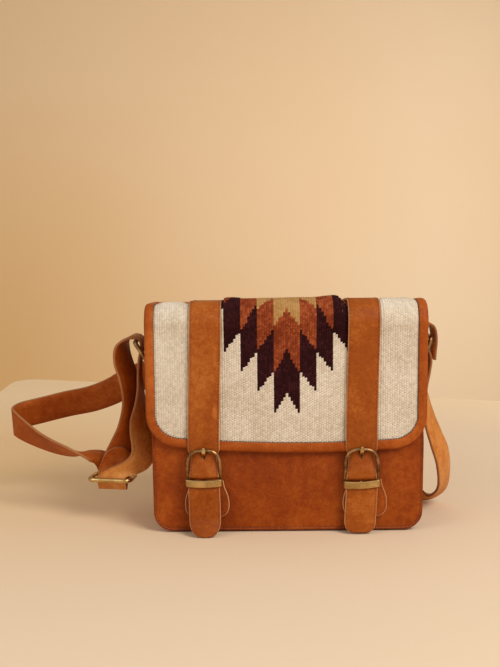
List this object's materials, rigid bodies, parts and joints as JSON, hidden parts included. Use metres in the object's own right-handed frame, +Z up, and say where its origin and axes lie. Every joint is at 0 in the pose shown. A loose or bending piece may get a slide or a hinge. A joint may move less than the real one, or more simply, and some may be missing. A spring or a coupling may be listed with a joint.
{
  "type": "crossbody bag",
  "caption": "Boxed leather crossbody bag with a leather-bound woven wool flap, buckled flap straps and a long shoulder strap on swinging side rings.",
  "frame": {"origin": "centre of the flat base under the bag's body", "axes": "+Z up, the flap's front faces -Y, +X to the right as the front is seen"},
  "size_m": [0.4321, 0.1292, 0.2096],
  "materials": {
    "tan_leather": "vegetable-tanned full-grain leather, warm tan, slightly waxed",
    "strap_leather": "thicker strap leather, tan, with raw pale edges",
    "flap_suede": "flesh side of the leather, matt brown",
    "lining_cloth": "plain cotton lining",
    "cream_wool": "ribbed hand-woven wool, undyed cream",
    "plum_wool": "ribbed hand-woven wool, dark plum",
    "rust_wool": "ribbed hand-woven wool, rust",
    "sand_wool": "ribbed hand-woven wool, sand",
    "antique_brass": "darkened brass, softly polished"
  },
  "bodies": {
    "bag": {"front_panel": "tan_leather", "back_panel": "tan_leather", "gusset": "tan_leather", "lining": "lining_cloth", "back_yoke": "tan_leather", "snap_socket_left": "antique_brass", "snap_socket_right": "antique_brass", "ring_tab_left": "tan_leather", "ring_tab_right": "tan_leather", "shoulder_strap": "strap_leather", "slider": "antique_brass"},
    "flap": {"flap_lining": "flap_suede", "flap_cloth": "cream_wool", "motif_plum": "plum_wool", "motif_rust": "rust_wool", "motif_sand": "sand_wool", "flap_binding": "tan_leather", "flap_strap_left": "strap_leather", "flap_strap_right": "strap_leather", "buckle_frame_left": "antique_brass", "buckle_frame_right": "antique_brass", "buckle_prong_left": "antique_brass", "buckle_prong_right": "antique_brass", "buckle_tab_left": "tan_leather", "buckle_tab_right": "tan_leather", "snap_stud_left": "antique_brass", "snap_stud_right": "antique_brass"},
    "ring_left": {"side_ring_left": "antique_brass"},
    "ring_right": {"side_ring_right": "antique_brass"}
  },
  "joints": [
    {"name": "flap_hinge", "type": "hinge", "parent": "bag", "child": "flap", "pos_m": [0, 0.0369, 0.19715], "axis": [-1, 0, 0], "range_deg": [0, 175]},
    {"name": "ring_left_swing", "type": "hinge", "parent": "bag", "child": "ring_left", "pos_m": [-0.125, 0, 0.154], "axis": [0, 1, 0], "range_deg": [-58, 28], "deforming": ["shoulder_strap"]},
    {"name": "ring_right_swing", "type": "hinge", "parent": "bag", "child": "ring_right", "pos_m": [0.125, 0, 0.154], "axis": [0, -1, 0], "range_deg": [-70, 16], "deforming": ["shoulder_strap"]}
  ]
}
